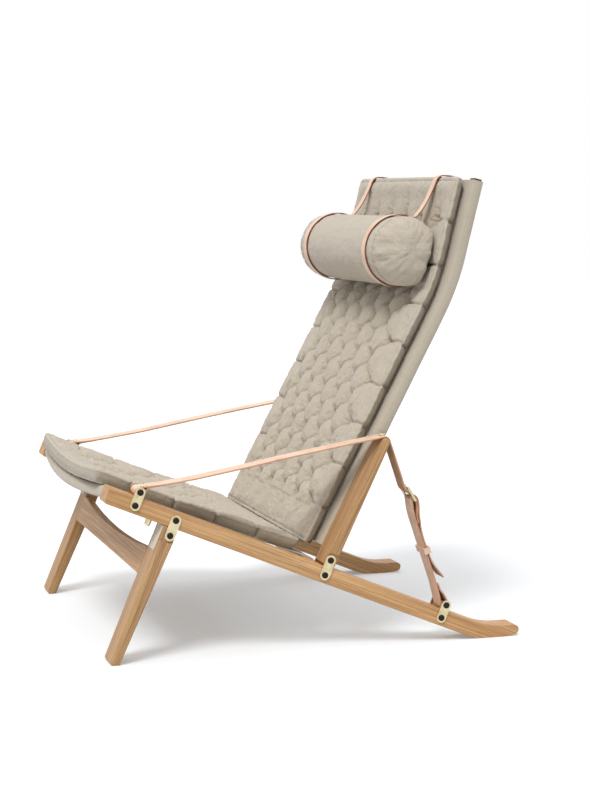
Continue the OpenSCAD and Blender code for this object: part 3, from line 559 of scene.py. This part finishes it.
def pad_mesh(ends, tufts, surface, rear, step, amp, wall, tuck, seed):
    """A pad between two ends, with its first row of tufts and their number.

    surface(x, t, height) and rear(x, t) give points. wall is the height of the border, amp that of the puffs
    above it, and tuck is how far the boxed side slopes in below.
    """
    half, (a0, a1), (t0, rows) = PAD_HALF, ends, tufts
    centre, reach = (a0 + a1) / 2, (a1 - a0) / 2
    nx = int(round(2 * half / step)) // 2 * 2 + 1
    nt = int(round((a1 - a0) / step)) // 2 * 2 + 1
    X, T = np.meshgrid(np.linspace(-half, half, nx), np.linspace(a0, a1, nt))
    # round the plan corners
    rc = 10.0
    ex = np.maximum(0, np.abs(X) - (half - rc))
    et = np.maximum(0, np.abs(T - centre) - (reach - rc))
    shrink = np.where((ex > 0) & (et > 0), np.maximum(ex, et) / (np.hypot(ex, et) + 1e-9), 1)
    X = np.where(ex > 0, np.sign(X) * (half - rc + ex * shrink), X)
    T = np.where(et > 0, centre + np.sign(T - centre) * (reach - rc + et * shrink), T)
    # the darts nip the border in
    lobe = (T - t0) / PT
    inner = np.clip(np.minimum(T - t0, t0 + PT * rows - T) / 10 + 1.5, 0, 1)
    nip = 4.5 * np.exp(-((lobe - np.round(lobe)) * PT / 5) ** 2) + 2.2 * (1 - np.abs(np.sin(np.pi * lobe)) ** 0.6)
    edge = np.minimum(half - np.abs(X), np.minimum(T - a0, a1 - T))
    edge = np.where((ex > 0) & (et > 0), np.minimum(edge, rc - np.hypot(ex * shrink, et * shrink)), edge)
    roll = np.sqrt(np.clip(1 - (1 - np.clip(edge / 6, 0, 1)) ** 2, 0, 1))
    # height above the sling: a crown with a seam and uneven filling, the soft folds, then the keen ones
    soft, keen, sharp = quilt(X, T, t0, rows, amp)
    pull = np.sign(X) * nip * inner * np.exp(-(half - np.abs(X)) / 14)
    swell = 1 - np.exp(-edge / 24)
    seamline = 0.9 * np.exp(-((edge - 3.5) / 2.2) ** 2) - 1.7 * np.exp(-((edge - STITCH_INSET) / 1.8) ** 2)
    rough = 0.9 * value_noise(X / 23, T / 23, seed) + 0.6 * value_noise(X / 9, T / 9, seed + 3)
    pleat = 1.3 * np.exp(-edge / 11) * value_noise((X + T) / 5.5, (X - T) / 30, seed + 5)
    crown = wall + amp * 0.85 * swell - 2.4 * (1 - roll) + seamline + rough * np.clip(edge / 12, 0.2, 1) + pleat
    sunk = soft * np.clip(edge / 34, 0.08, 1) + sharp * np.clip(edge / 5, 0.45, 1)
    level = surface(X - pull, T, 10 + 0 * X)
    base_top = surface(X - pull, T, crown) + surface(X - pull, T, 10 + sunk) - level
    top = base_top + surface(X - pull, T, 10 + keen * np.clip(edge / 30, 0.08, 1)) - level
    # the boxed side, with a dent at each dart
    ring = ([(0, j) for j in range(nx)] + [(i, nx - 1) for i in range(1, nt)] +
            [(nt - 1, j) for j in range(nx - 2, -1, -1)] + [(i, 0) for i in range(nt - 2, 0, -1)])
    rim = [i * nx + j for i, j in ring]
    rx, rt_ = (X - pull).ravel()[rim], T.ravel()[rim]
    cx, ct = np.clip(rx, -(half - rc), half - rc), np.clip(rt_, a0 + rc, a1 - rc)
    nrm = np.stack([rx - cx, rt_ - ct], -1)
    nrm /= np.linalg.norm(nrm, axis=1)[:, None] + 1e-9
    rtn = (rt_ - t0) / PT
    on_side = (np.abs(nrm[:, 0]) > 0.7) & (rtn > -0.2) & (rtn < rows + 0.2)
    dent = np.where(on_side, np.exp(-((rtn - np.round(rtn)) * PT / 2.3) ** 2), 0)
    puffs = np.where(on_side, 0.45 + 0.55 * np.abs(np.sin(np.pi * rtn)) ** 0.4, 1)
    rim_h = (crown + sunk).ravel()[rim]
    pts = [top.reshape(-1, 3)]
    uvs = [np.stack([X.ravel(), T.ravel()], -1)]
    levels = (0.9, 0.72, 0.5, 0.28, 0.1)
    along = arc_length(np.stack([rx, rt_], -1))
    for k in levels:
        bulge = 2.6 * math.sin(math.pi * k) * puffs - 3.6 * dent * math.sin(math.pi * min(1, k * 0.75)) ** 0.7
        bulge = bulge - (1.2 if k == levels[0] else 0) - tuck * (1 - k) ** 1.1
        bulge = bulge + 0.7 * value_noise(along / 12, 0 * along + k * 9, seed + 7)
        w = surface(rx + nrm[:, 0] * bulge, rt_ + nrm[:, 1] * bulge, rim_h * k + 0.6 * (1 - k))
        pts.append(w)
        uvs.append(np.stack([along, 0 * along + 600 + 30 * k], -1))
    m = len(rim)
    faces = quads(nt, nx)
    mats = ["canvas"] * len(faces)

    def join(upper, lower, mat):
        """Faces between two loops of points."""
        for i in range(m):
            j = (i + 1) % m
            faces.append((upper[i], lower[i], lower[j], upper[j]))
            mats.append(mat)

    prev = rim
    # the boxed side takes the darker canvas, which is painted shade
    for k in range(len(levels)):
        cur = [nx * nt + k * m + i for i in range(m)]
        join(prev, cur, "boxed_side_painted_shade")
        prev = cur
    # the underside
    low = rear(X * (1 - (tuck + 2) / half), (T - centre) * (1 - 6.0 / (a1 - a0)) + centre)
    pts.append(low.reshape(-1, 3))
    uvs.append(np.stack([X.ravel(), T.ravel() + 900], -1))
    lbase = nx * nt + len(levels) * m
    join(prev, [lbase + i for i in rim], "canvas")
    under = [tuple(lbase + k for k in (face[0], *face[:0:-1])) for face in quads(nt, nx)]
    faces += under
    mats += ["canvas"] * len(under)
    b = Build()
    b.add(np.concatenate(pts), faces, mats, np.concatenate(uvs))
    return b, dict(X=X, T=T, edge=edge, base=base_top)


def inflate(b, info, tufts, frames=20, pressure=0.5, slack=-0.06, limit=0.0045):
    """Runs every second point of the upper face as cloth with spare fabric, held at the tufts and the border.

    The motion of each point, up to limit in metres, is added to the finished face.
    """
    t0, rows = tufts
    nt, nx = info["X"].shape
    v = (info["base"] / 1000)[::2, ::2].reshape(-1, 3)
    mx, mt = (nx + 1) // 2, (nt + 1) // 2
    me = bpy.data.meshes.new("sim")
    me.from_pydata(v.tolist(), [], quads(mt, mx))
    me.update()
    o = bpy.data.objects.new("sim", me)
    bpy.context.scene.collection.objects.link(o)
    X, T, edge = (info[k][::2, ::2].ravel() for k in ("X", "T", "edge"))
    cx, ct = (X - PX / 2) / PX, (T - t0) / PT
    u, w = cx + ct, cx - ct
    near = np.hypot(u - np.round(u), w - np.round(w)) * FOLD
    inside = (np.abs(X) < FIELD_HALF + 10) & (T > t0 - 8) & (T < t0 + PT * rows + 8)
    hold = np.nonzero((inside & (near < 4.2)) | (edge < 11))[0]
    o.vertex_groups.new(name="pin").add([int(i) for i in hold], 1.0, "REPLACE")
    mod = o.modifiers.new("cloth", "CLOTH")
    s = mod.settings
    s.quality = 4
    s.mass = 0.2
    s.tension_stiffness = s.compression_stiffness = 14
    s.shear_stiffness = 4
    s.bending_stiffness = 0.04
    s.air_damping = 3
    s.vertex_group_mass = "pin"
    s.pin_stiffness = 1
    s.shrink_min = s.shrink_max = slack
    s.use_pressure = True
    s.uniform_pressure_force = pressure
    s.effector_weights.gravity = 0
    mod.collision_settings.use_collision = False
    mod.collision_settings.use_self_collision = False
    mod.point_cache.frame_start, mod.point_cache.frame_end = 1, frames
    sc = bpy.context.scene
    sc.frame_start, sc.frame_end = 1, frames
    for number in range(1, frames + 1):
        sc.frame_set(number)
    out = o.evaluated_get(bpy.context.evaluated_depsgraph_get()).to_mesh()
    co = np.zeros(len(v) * 3)
    out.vertices.foreach_get("co", co)
    sc.frame_set(1)
    move = co.reshape(-1, 3) - v
    d = np.linalg.norm(move, axis=1)
    move *= (np.minimum(d, limit) / np.maximum(d, 1e-9))[:, None]
    # less outside the tufted field, and less beside the pillow
    move *= (np.where(inside, 1.0, 0.4) * np.clip((560 - T) / 40, 0.15, 1))[:, None]
    move = move.reshape(mt, mx, 3)
    spread = np.zeros((nt, nx, 3))
    spread[::2, ::2] = move
    spread[1::2, ::2] = (move[:-1] + move[1:]) / 2
    spread[:, 1::2] = (spread[:, :-2:2] + spread[:, 2::2]) / 2
    b.v[0][:nx * nt] += spread.reshape(-1, 3) * 1000
    bpy.data.objects.remove(o)
    bpy.data.meshes.remove(me)


# directions about a small stitch
QUARTERS = (0, 1.57, 3.14, 4.71)


def edge_stitches(b, info, pitch=5.2):
    """A row of topstitching just inside the border, laid on the finished cover."""
    nt, nx = info["X"].shape
    P = b.v[0][:nx * nt].reshape(nt, nx, 3)
    k = max(2, int(round(STITCH_INSET / (2 * PAD_HALF / (nx - 1)))))
    for line in (P[k:nt - k, nx - 1 - k], P[k:nt - k, k], P[k, k:nx - k], P[nt - 1 - k, k:nx - k]):
        dist = arc_length(line)
        for i in range(int(dist[-1] // pitch)):
            a, c = (i + 0.18) * pitch, (i + 0.78) * pitch
            p0 = np.array([np.interp(a, dist, line[:, q]) for q in range(3)])
            p1 = np.array([np.interp(c, dist, line[:, q]) for q in range(3)])
            d = (p1 - p0) / (np.linalg.norm(p1 - p0) + 1e-9)
            # two directions across the stitch
            e1 = np.cross(d, [0.3, 0.5, 0.8])
            e1 /= np.linalg.norm(e1)
            e2 = np.cross(d, e1)
            rows = []
            for s, w in ((0, 0.3), (0.25, 1), (0.75, 1), (1, 0.3)):
                c0 = p0 + (p1 - p0) * s
                rows.append([c0 + (e1 * math.cos(g) + e2 * math.sin(g)) * 0.55 * w for g in QUARTERS])
            b.grid(np.array(rows), "thread", wrap=True)


def seat_surface(x, t, h):
    return across(x, rail_point(t, sling_h(x, t) + 2 + h))


def seat_rear(x, t):
    return across(x, rail_point(t, sling_h(x, t) + 1.9))


def pillow_limit(x, t):
    """How far in front of the back's line the pad may stand, so that the pillow clears it as it slides."""
    pillow_t, below, above = 639, 84, 94
    low, high = np.maximum(0, pillow_t - t - below), np.maximum(0, t - pillow_t - above)
    beside = np.maximum(0, np.abs(x) - 275)
    return 30.1 - 0.09 * np.clip(pillow_t - t, 0, below) + 0.4 * (low + high * high / (high + 25) + beside)


def back_surface(x, t, h):
    depth = h + 2.6 + 2.5 * np.maximum(0, 1 - (np.asarray(x) / 288) ** 2)
    soft = 6
    start = pillow_limit(x, t) - soft
    depth = np.where(depth > start, start + soft * (1 - np.exp(-(depth - start) / soft)), depth)
    return across(x, back_point(t, -depth))


def back_rear(x, t):
    return across(x, back_point(t, back_sag(t) * np.maximum(0, 1 - (np.asarray(x) / 277) ** 2) - 2.6))


def pad(ends, tufts, surface, rear, amp, wall, tuck, seed):
    b, info = pad_mesh(ends, tufts, surface, rear, 2.1, amp, wall, tuck, seed)
    inflate(b, info, tufts)
    edge_stitches(b, info)
    return b


b = pad(SEAT_ENDS, SEAT_TUFTS, seat_surface, seat_rear, amp=11.0, wall=23.0, tuck=8.5, seed=11)
seat = b.make("seat_pad_cover", "seat_frame", "natural_canvas")
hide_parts("seat_pad")
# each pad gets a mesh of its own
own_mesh(seat)

b = pad(BACK_ENDS, BACK_TUFTS, back_surface, back_rear, amp=12.5, wall=22.5, tuck=24.0, seed=23)
back = b.make("back_pad_cover", "back_frame", "natural_canvas")
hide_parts("back_pad")
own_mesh(back)


# Slings


def seat_sling():
    """The seat's sheet and its length: a hem about the front batten, the sagging run and the rear wrap."""
    # about the middle of the front batten, and behind the front edge of the rear one
    hem = np.array([[6.7, 2], [6.7, -7], [4, -10.4], [-4, -10.4], [-6.7, -7], [-6.7, 7], [-4, 10.4], [4, 10.5]])
    wrap = np.array([[0, 1.9], [24, 1.9], [25.2, 0.4], [25.2, -8.5], [24, -9.9], [0, -9.9], [-1.1, -8.5], [-1.1, -1]])
    rows, uvs = [], []
    for u in np.linspace(-1, 1, 41):
        f = float(fall(u * SLING_HALF))
        run = np.array([[s, float(sling_h(u * SLING_HALF, s))] for s in np.linspace(30, 400, 38)])
        p = np.concatenate([hem + [10 - 12 * f, -13.5 - 19 * f], run, wrap + [SEAT_RUN, 0]])
        nn = path_normals(p)[1]
        ring = np.concatenate([p - nn * 0.55, (p + nn * 0.55)[::-1]])
        yz = rail_point(ring[:, 0], ring[:, 1])
        x = u * (309.4 - 6 * np.clip((ring[:, 0] - 30) / 10, 0, 1))
        rows.append(np.concatenate([x[:, None], yz], 1))
        s = arc_length(p)
        uvs.append(np.stack([np.full(len(ring), u * 309), np.concatenate([s, s[::-1]])], -1))
    return sheet_mesh(rows, uvs), float(uvs[0][:, 1].max())


b, seat_len = seat_sling()
o = b.make("seat_sling_canvas", "seat_frame", "natural_canvas")
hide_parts("seat_sling")


def back_sling():
    """The back's sheet and its width: the sagging span with a sleeve about each pole."""
    rows, uvs = [], []
    for t in np.concatenate([np.linspace(18, 500, 40), np.linspace(512, 782, 30)]):
        sag = float(back_sag(t))
        half = [[x, -1.6 + sag * (1 - (x / 277) ** 2)] for x in np.linspace(0, 271, 14)]
        half += [[303.5, -1.3], [306.4, 1.5], [306.4, 17], [304.5, 19.1], [278.5, 19.1], [276.4, 17], [276.4, 4]]
        half = np.array(half)
        p = np.concatenate([half[:0:-1] * [-1, 1], half])
        nn = path_normals(p)[1]
        ring = np.concatenate([p - nn * 0.5, (p + nn * 0.5)[::-1]])
        w = 0.25 * value_noise(ring[:, 0] / 30, 0 * ring[:, 0] + t / 30, 4)
        yz = back_point(np.full(len(ring), t), ring[:, 1] + w)
        rows.append(np.concatenate([ring[:, :1], yz], 1))
        s = arc_length(p)
        uvs.append(np.stack([np.concatenate([s, s[::-1]]), np.full(len(ring), t)], -1))
    return sheet_mesh(rows, uvs), float(uvs[0][:, 0].max())


b, back_wide = back_sling()
o = b.make("back_sling_canvas", "back_frame", "natural_canvas")
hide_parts("back_sling")


# Head pillow: a roll that is flattened where it lies on the back, with domed ends

PILLOW, PILLOW_LEAN = np.array([220.9, 750.5]), math.radians(15.5)
# radius, depth of the flat side behind the axis, and where the seams of the ends are
PILLOW_R, PILLOW_FLAT, SEAM_X = 68, 40, 229
# where the two bands and straps run, and half their width and their thickness
BAND_X, BAND_HALF, BAND_THICK = 190, 10.5, 2.2


def pillow_ring(r, flat, n, wrinkle=0.0):
    """n side points about the pillow's axis. What lies beyond flat toward the back is pressed in."""
    a = np.arange(n) * 2 * math.pi / n
    bd = np.array([math.cos(PILLOW_LEAN), -math.sin(PILLOW_LEAN)])
    q = (np.full(n, float(r)) + wrinkle)[:, None] * np.stack([np.cos(a), np.sin(a)], -1)
    over = q @ bd - flat
    soft = np.where(over > 0, over - 1.2 * (1 - np.exp(-over / 9)), 0)
    return PILLOW + q - soft[:, None] * bd


def pillow():
    n = 160
    a = np.arange(n) * 2 * math.pi / n

    def ring_at(x, r, side, dome):
        """Wrinkles along the roll, puckers at the seam, and lumps on the ends in proportion to dome."""
        w = 0.6 * value_noise(a * 5, 0 * a + x / 26, 31) + 0.35 * value_noise(a * 13, 0 * a + x / 40, 37)
        w = w + math.exp(-((abs(x) - SEAM_X) / 10) ** 2) * 1.1 * value_noise(a * 19, 0 * a + side, 41)
        w = w - 1.4 * math.exp(-((abs(x) - SEAM_X) / 1.5) ** 2)
        lumps = 2.4 * value_noise(a * 3.5, 0 * a + r / 17, 43 + side)
        w = w + dome * (lumps + 1.4 * value_noise(a * 9, 0 * a + r / 9, 47 + side))
        w = w * min(1, r / 34) ** 1.4
        ring = pillow_ring(r, min(r, PILLOW_FLAT + 0.2), n, w)
        bump = dome * (3.4 * value_noise(ring[:, 0] / 17, ring[:, 1] / 17, 53 + side)
                       + 3.2 * np.abs(value_noise(ring[:, 0] / 9, ring[:, 1] / 9, 59 + side)) - 1.5)
        return np.concatenate([(x + side * bump)[:, None], ring], 1)

    b = Build()
    near_end = np.array([176, 182, 190, 198, 203, 210, 220, 226, SEAM_X])
    xs = np.concatenate([-near_end[::-1], np.linspace(-168, 168, 40), near_end])
    # the bands draw the roll in a little
    radii = PILLOW_R + 0.4 - 0.9 * np.exp(-((np.abs(xs) - BAND_X) / 9) ** 2) - 0.4 * (np.abs(xs) > 212)
    body = np.array([ring_at(x, r, np.sign(x), 0.0) for x, r in zip(xs, radii)])
    b.grid(body, "canvas", np.array([np.stack([a * PILLOW_R, np.full(n, x)], -1) for x in xs]), wrap=True)
    # x and radius of the domed end
    prof = [(SEAM_X, PILLOW_R), (232, 67.8), (238, 66.6), (244, 64.6), (250, 61.5), (255, 57.7), (259.5, 53),
            (263.5, 47), (266.8, 40), (269.2, 32), (270.8, 23.5), (271.8, 15), (272.2, 7), (272.3, 1.5)]
    arc = arc_length(np.array(prof))
    for side in (-1, 1):
        rows = np.array([ring_at(side * x, r, side, min(1, max(0, (x - 231) / 14))) for x, r in prof])
        rho = arc[-1] + 1.5 - arc
        uv = np.array([np.stack([q * np.cos(a), q * np.sin(a)], -1) for q in rho])
        b.grid(rows, "canvas", uv, wrap=True)
        c = rows[-1].mean(0)
        b.add(np.concatenate([rows[-1], c[None]]), [(n, k, (k + 1) % n) for k in range(n)], "canvas",
              np.concatenate([uv[-1], [[0, 0]]]))
        # a line of stitches beside the seam
        ring = pillow_ring(PILLOW_R - 0.4, PILLOW_FLAT, 200)
        for p0, p1 in zip(ring[::2], ring[1::2]):
            rows = []
            for s, w in ((0.1, 0.3), (0.3, 1), (0.8, 1), (1.0, 0.3)):
                c0 = np.array([side * (SEAM_X + 4), *(p0 + (p1 - p0) * s)])
                nn = np.array([0, *(c0[1:] - PILLOW)])
                nn /= np.linalg.norm(nn)
                rows.append([c0 + (np.array([1, 0, 0]) * math.cos(g) + nn * math.sin(g)) * 0.7 * w
                             for g in QUARTERS])
            b.grid(np.array(rows), "thread", wrap=True)
    return b


def band_pair(b, path, **how):
    """The same strap over both ends of the pillow."""
    for x in (-BAND_X, BAND_X):
        strap(b, path, x - BAND_HALF, x + BAND_HALF, BAND_THICK, "leather", "flesh", "edge", **how)


o = pillow().make("head_pillow_cover", "head_pillow_body", "natural_canvas")
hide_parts("head_pillow")

b = Build()
ring = pillow_ring(PILLOW_R + 2.9, PILLOW_FLAT + 2.2, 150)
band_pair(b, np.concatenate([ring, ring[:1]])[::-1], loop=True)
o = b.make("pillow_band_leather", "head_pillow_body", "natural_leather")
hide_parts("pillow_bands")

# the straps rise from the pillow, turn over the top bar and fall to the counterweight
rise = math.radians(62)
front = np.array([PILLOW + (PILLOW_R + 6.3) * np.array([math.cos(rise), math.sin(rise)]), [275, 838],
                  *back_point([762, 776, 784.6, 788, 789.4, 789], [-35.8, -35, -29, -15, -6, 8])])
rear = np.array([*back_point([789, 788, 783, 775], [8.6, 16, 23, 26.5]), [359.5, 862], [359.5, 824.2]])
for name, node, body, path, bar_end, free_end in (
        ("pillow_front_strap_leather", "pillow_front_straps", "head_pillow_body", front, -1, 0),
        ("pillow_rear_strap_leather", "pillow_rear_straps", "counterweight_body", rear, 0, -1)):
    b = Build()
    band_pair(b, smooth_path(path, 4), cup=-0.2, wear=0.3, seed=5)
    o = b.make(name, None, "natural_leather")
    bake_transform(o)
    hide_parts(node)


# Arm straps and lower straps

# the arm strap bends over the post's top, then drops to the buckle
POST_TOP = tilted(POST_PIVOT, POST_LEAN, -2.5, 247)
BEND, FALL = 9.8, math.radians(19)
DROP_TOP = POST_TOP + BEND * np.array([math.cos(FALL), math.sin(FALL)])
BUCKLE = DROP_TOP + 114 * np.array([math.sin(FALL), -math.cos(FALL)])
FRONT_ROLLER, REAR_ROLLER = rail_point(55.6, 10.5), rail_point(707, 10.5)
# radius of a strap's middle line about a roller
LOOP = 7.8
STRAP_X, STRAP_WIDE = 315, 40


def on_drop(p):
    """Side points from points across and along the dropping strap, measured from the buckle."""
    p = np.asarray(p, float)
    return tilted(BUCKLE, -FALL, p[:, 0], p[:, 1])


def circ(c, r, degs):
    a = np.radians(degs)
    return np.asarray(c) + r * np.stack([np.cos(a), np.sin(a)], -1)


take, over = circ(FRONT_ROLLER, LOOP, [100])[0], circ(POST_TOP, BEND, [99])[0]


def arm_point(u):
    """Side points along the arm strap's slightly slack run, for u from 0 at the roller to 1 at the post."""
    u = np.asarray(u, float)
    p = take + u[:, None] * (over - take)
    p[:, 1] -= 52 * u * (1 - u) ** 3
    return p


crown = circ(POST_TOP, BEND, np.linspace(99, 19, 12))
front_path = np.concatenate([arm_point([0.11, 0.085, 0.06, 0.04]) - [0, 3.1],
                             circ(FRONT_ROLLER, LOOP, np.linspace(-72, -250, 16)),
                             arm_point(np.linspace(0.02, 0.97, 60)), crown[:6]])
# down to the buckle, over its bar, through the keeper and out to the tail
drop = on_drop([[0, 100], [0, 60], [0, 28], [-0.4, 14], [2.8, 6.5], [8.9, -0.5], [14.6, -5.8], [17.4, -12],
                [17.4, -19], [15, -30], [10.4, -43], [8.2, -56], [5.6, -68], [3.9, -84], [3.8, -100], [4.4, -130],
                [7, -150], [18, -179]])
rear_path = np.concatenate([crown[5:], smooth_path(drop, 3.5)])
# the lower strap is looped about the buckle's heel bar and about the rear roller
roller = tilted((0, 0), FALL, *(REAR_ROLLER - BUCKLE))
low_path = on_drop(np.concatenate([
    [[3.5, -60], [5.5, -45], [11, -29]], circ((9.5, -13), 4.4, np.linspace(-10, 185, 12)),
    [[1.5, -32], [0.2, -48], [0, -80], [0, -130], [0, -185], [-2, -212]],
    circ(roller, LOOP, np.linspace(185, 375, 14)), [[7.6, -212], [3.6, -200], [3.4, -188]]]))


def side_strap(b, sx, path, out, inn, **how):
    xa, xb = sorted((sx * STRAP_X, sx * (STRAP_X + STRAP_WIDE)))
    strap(b, path, xa, xb, 3.0, out, inn, "edge_pale", **how)


for side, sx in (("left", 1), ("right", -1)):
    b = Build()
    side_strap(b, sx, resample(front_path, 3.5), "leather", "flesh", cup=-0.25, wear=0.35, seed=7 + sx, skive=40)
    for inset in (4.5, STRAP_WIDE - 4.5):
        stitches(b, resample(arm_point(np.linspace(0.005, 0.05, 12)), 3), 1.5, sx * (STRAP_X + inset), 5.5)
    o = b.make(side + "_arm_strap_front", None, "natural_leather")
    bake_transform(o)
    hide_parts(side + "_arm_strap")
    b = Build()
    side_strap(b, sx, resample(rear_path, 3), "leather", "flesh", cup=-0.25, wear=0.3, seed=17 + sx)
    o = b.make(side + "_arm_strap_rear", None, "natural_leather")
    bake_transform(o)
    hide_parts(side + "_arm_strap")
    b = Build()
    side_strap(b, sx, resample(low_path, 3), "flesh", "leather", cup=0.2, wear=0.2, seed=27 + sx)
    o = b.make(side + "_lower_strap_leather", "seat_frame", "natural_leather")
    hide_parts(side + "_lower_strap")


# Floor, light and camera

# rays that see the backdrop, as against those that light the chair
SEEN = ("Is Camera Ray", "Is Glossy Ray", "Is Transmission Ray")

me = bpy.data.meshes.new("floor")
me.from_pydata([(-14, -14, 0), (14, -14, 0), (14, 14, 0), (-14, 14, 0)], [], [(0, 1, 2, 3)])
floor = bpy.data.objects.new("floor", me)
m = Mat("floor_paper")
path = m.node("LightPath").outputs
seen = m.math("MAXIMUM", m.math("MAXIMUM", path[SEEN[0]], path[SEEN[1]]), path[SEEN[2]])
# a little glow makes the paper white where no shadow falls
me.materials.append(m.out(Base_Color=(0.735, 0.755, 0.775, 1), Roughness=1.0, Specular_IOR_Level=0.0,
                          Emission_Color=(1, 1, 1, 1), Emission_Strength=m.times(seen, 0.23)))
bpy.context.scene.collection.objects.link(floor)

world = bpy.data.worlds.new("studio")
bpy.context.scene.world = world
world.use_nodes = True
wt = world.node_tree
bg = wt.nodes["Background"]
bg.inputs[0].default_value = (1, 1, 1, 1)
path = wt.nodes.new("ShaderNodeLightPath").outputs
best = path[SEEN[0]]
for key in SEEN[1:]:
    n = wt.nodes.new("ShaderNodeMath")
    n.operation = "MAXIMUM"
    wt.links.new(best, n.inputs[0])
    wt.links.new(path[key], n.inputs[1])
    best = n.outputs[0]
# the sky lights the chair more from overhead than from the horizon
sky = wt.nodes.new("ShaderNodeSeparateXYZ")
wt.links.new(wt.nodes.new("ShaderNodeTexCoord").outputs["Generated"], sky.inputs[0])
dome = wt.nodes.new("ShaderNodeMapRange")
wt.links.new(sky.outputs["Z"], dome.inputs["Value"])
dome.inputs["To Min"].default_value = 0.30
dome.inputs["To Max"].default_value = 0.84
level = wt.nodes.new("ShaderNodeMapRange")
wt.links.new(best, level.inputs["Value"])
wt.links.new(dome.outputs[0], level.inputs["To Min"])
level.inputs["To Max"].default_value = 1.0
wt.links.new(level.outputs[0], bg.inputs[1])


def sun(name, loc, power, spread):
    """A sun that shines from loc to the seat, spread over an angle in degrees."""
    light = bpy.data.lights.new(name, "SUN")
    light.energy = power
    light.angle = math.radians(spread)
    o = bpy.data.objects.new(name, light)
    o.location = loc
    o.rotation_euler = (Vector((0, 0, 0.4)) - Vector(loc)).to_track_quat("-Z", "Y").to_euler()
    bpy.context.scene.collection.objects.link(o)


sun("key", (1.7, -1.4, 3.6), power=1.95, spread=21)
sun("top", (-0.9, 0.5, 3.6), power=0.50, spread=70)

# solved from the photograph, in which the picture is 590 pixels wide
PHOTO_WIDE, FOCAL, SHIFT = 590, 1897.93, (-11.03, 44.73)

cam_data = bpy.data.cameras.new("camera")
cam = bpy.data.objects.new("camera", cam_data)
bpy.context.scene.collection.objects.link(cam)
cam_data.sensor_fit = "HORIZONTAL"
cam_data.sensor_width = 36
cam_data.lens = FOCAL / PHOTO_WIDE * cam_data.sensor_width
cam_data.shift_x, cam_data.shift_y = (pixels / PHOTO_WIDE for pixels in SHIFT)
cam_data.clip_end = 60
cam.location = (3.7215, -1.07787, 0.8567)
cam.rotation_euler = Vector((-0.94635, 0.29745, -0.12631)).to_track_quat("-Z", "Y").to_euler()
scene = bpy.context.scene
scene.camera = cam
scene.view_settings.view_transform = "Standard"
